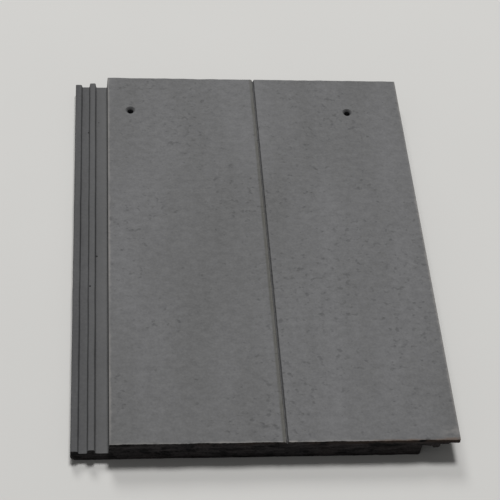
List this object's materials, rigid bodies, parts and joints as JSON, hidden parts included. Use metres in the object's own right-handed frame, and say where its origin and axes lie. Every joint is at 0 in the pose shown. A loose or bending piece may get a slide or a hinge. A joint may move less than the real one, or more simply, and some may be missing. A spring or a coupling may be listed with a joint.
{
  "type": "clay roof tile",
  "caption": "Flat interlocking clay roof tile in matte grey, with a false joint groove down its middle.",
  "frame": {"origin": "middle of the tile's width and length, in the plane of the nose's and nibs' undersides", "axes": "+X across the roof towards the overlap lip, +Y up the slope towards the head, +Z out of the weather face"},
  "size_m": [0.33, 0.432, 0.024],
  "materials": {
    "clay": "matte"
  },
  "bodies": {
    "root": {"roof_tile": "clay"}
  },
  "joints": []
}
